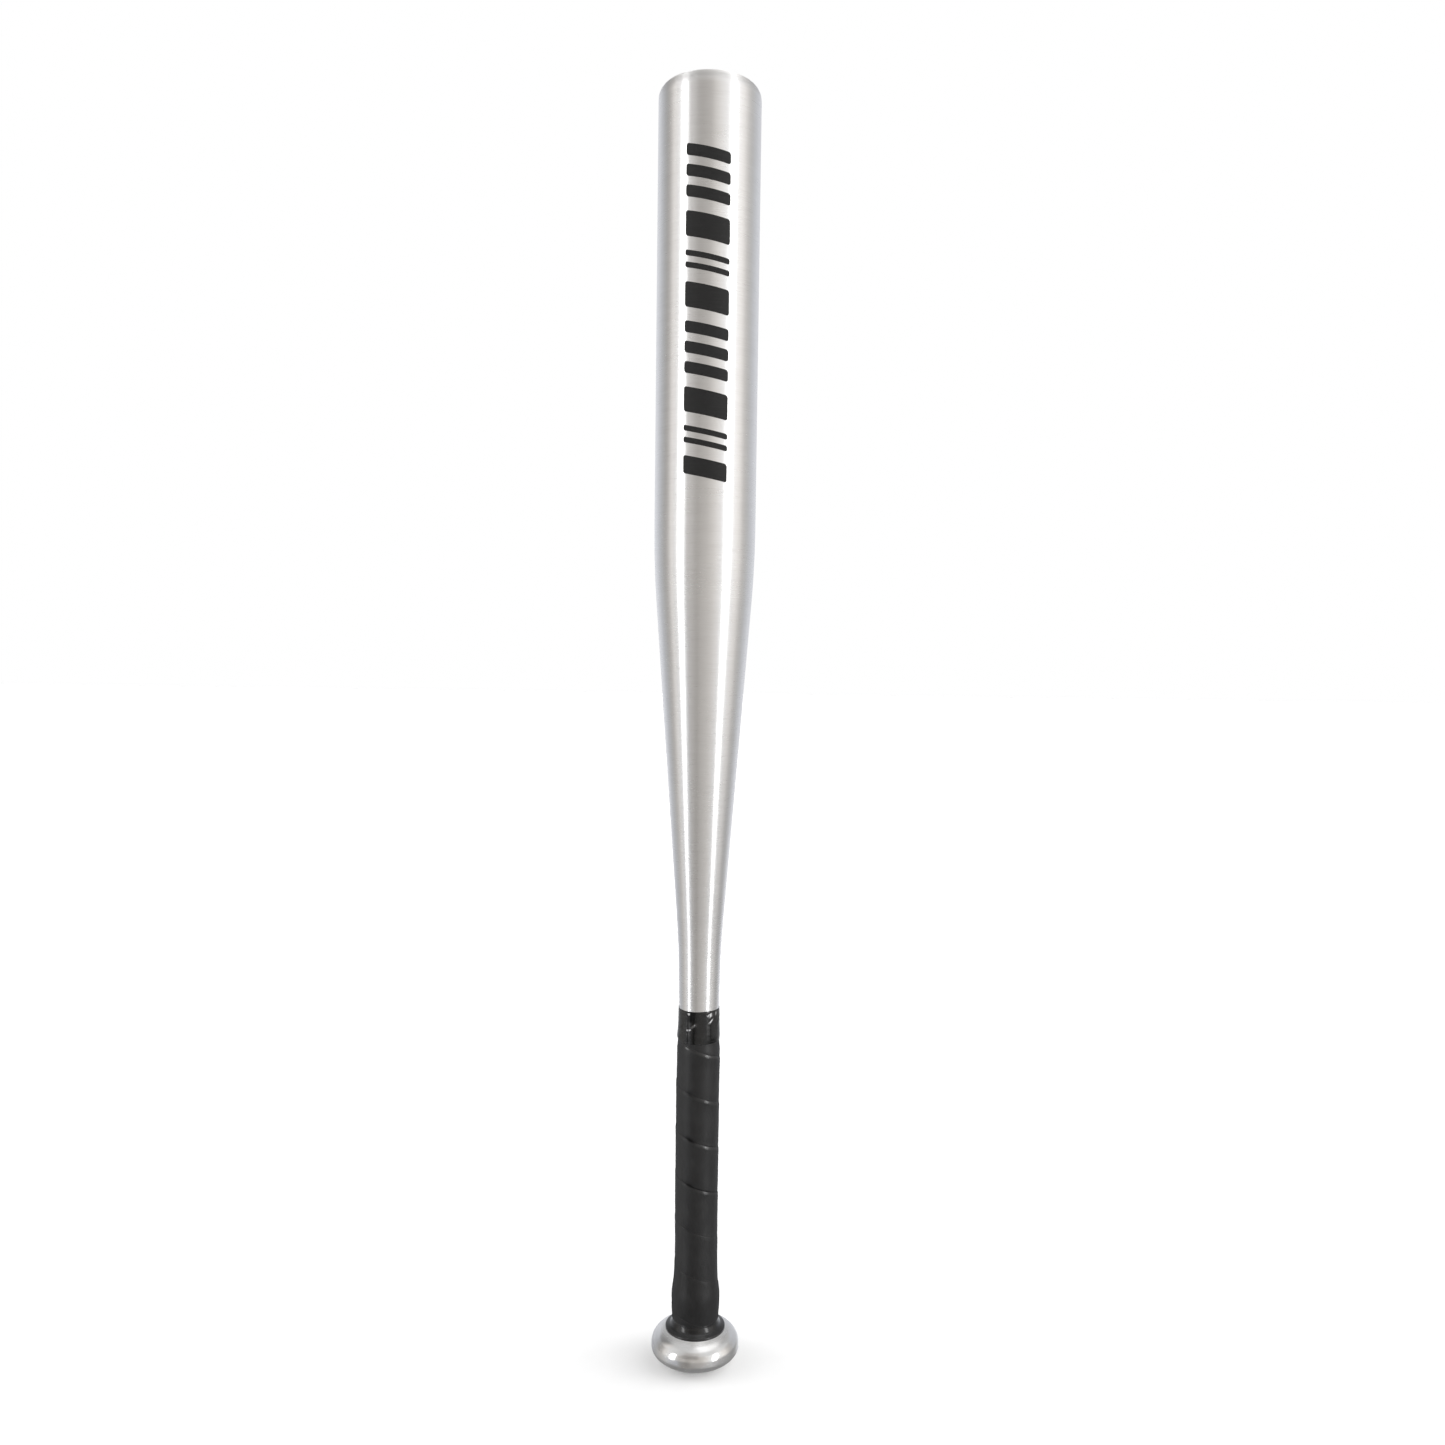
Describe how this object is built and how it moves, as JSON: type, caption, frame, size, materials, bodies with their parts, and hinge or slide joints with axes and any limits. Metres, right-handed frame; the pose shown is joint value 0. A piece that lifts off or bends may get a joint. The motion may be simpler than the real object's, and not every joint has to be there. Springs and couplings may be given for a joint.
{
  "type": "baseball bat",
  "caption": "Brushed aluminium baseball bat: straight barrel, long cone to a thin handle, spiral-wrapped black grip, glossy collar and polished round knob, standing on its knob.",
  "frame": {"origin": "centre of the flat on the knob's base, which the bat stands on", "axes": "+Z along the bat's axis from the knob to the barrel end; -Y is the side of the barrel that carries the printed graphic"},
  "size_m": [0.0636, 0.0636, 0.8128],
  "materials": {
    "brushed_aluminium": "satin",
    "polished_aluminium": "polished",
    "weld_metal": "matte",
    "plug_rubber": "satin",
    "collar_gloss": "gloss",
    "grip_leather": "satin",
    "vinyl_tape": "gloss",
    "underlay": "matte",
    "damper_foam": "matte",
    "graphic_ink": "satin"
  },
  "bodies": {
    "root": {"bat_tube": "brushed_aluminium", "end_plug": "plug_rubber", "foam_damper": "damper_foam", "knob": "polished_aluminium", "knob_weld": "weld_metal", "knob_plug": "plug_rubber", "knob_collar": "collar_gloss", "grip_underlay": "underlay", "grip_tape": "grip_leather", "grip_finish_tape": "vinyl_tape"}
  },
  "joints": []
}
